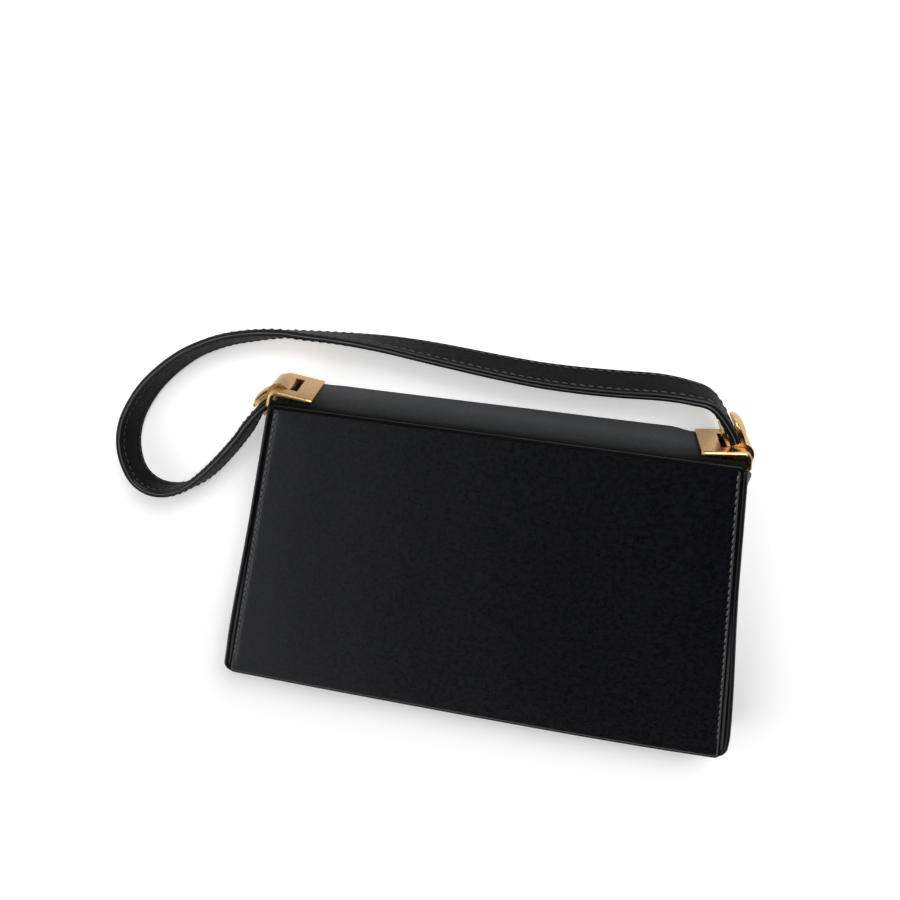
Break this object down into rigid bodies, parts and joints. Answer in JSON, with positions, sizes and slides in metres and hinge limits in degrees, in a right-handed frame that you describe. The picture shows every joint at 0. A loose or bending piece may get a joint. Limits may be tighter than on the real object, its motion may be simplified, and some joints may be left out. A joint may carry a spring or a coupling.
{
  "type": "shoulder bag",
  "caption": "Small structured shoulder bag with a full flap, trapezoid body and short strap on pivoting corner links, lying on its back.",
  "frame": {"origin": "centre of the back panel's outer face, on the surface that the bag lies on", "axes": "+X along the bag's width towards its right link, +Y towards its top edge, +Z out through the flap"},
  "size_m": [0.3006, 0.1821, 0.0338],
  "materials": {
    "leather": "smooth, slightly glossy",
    "strap": "smooth, slightly glossy",
    "lining": "suede-like matt",
    "board": "bonded fibre board",
    "magnet": "plated",
    "brass": "polished, warm gold"
  },
  "bodies": {
    "bag": {"body_leather": "leather", "body_lining": "lining", "back_board": "board", "front_board": "board", "base_board": "board", "body_magnets": "magnet", "slip_pocket": "lining", "gusset_left": "leather", "gusset_right": "leather", "strip_leather": "leather", "strip_board": "board", "strip_lining": "lining", "bracket_left": "brass", "bracket_right": "brass", "bracket_nuts": "brass", "flap_fold": "leather", "strap_leather": "strap", "strap_backing": "strap"},
    "flap": {"flap_leather": "leather", "flap_board": "board", "flap_lining": "lining", "flap_magnets": "magnet"},
    "left_link": {"link_left": "brass", "rivet_left": "brass"},
    "right_link": {"link_right": "brass", "rivet_right": "brass"}
  },
  "joints": [
    {"name": "flap_hinge", "type": "hinge", "parent": "bag", "child": "flap", "pos_m": [0, 0.0765, 0.034], "axis": [-1, 0, 0], "range_deg": [0, 170], "deforming": ["flap_fold"]},
    {"name": "left_link_pivot", "type": "hinge", "parent": "bag", "child": "left_link", "pos_m": [-0.0983, 0.0767, 0.0145], "axis": [0, 0, 1], "range_deg": [-25, 4], "deforming": ["strap_leather", "strap_backing"]},
    {"name": "right_link_pivot", "type": "hinge", "parent": "bag", "child": "right_link", "pos_m": [0.0983, 0.0767, 0.0145], "axis": [0, 0, 1], "range_deg": [-30, 3], "deforming": ["strap_leather", "strap_backing"]}
  ]
}
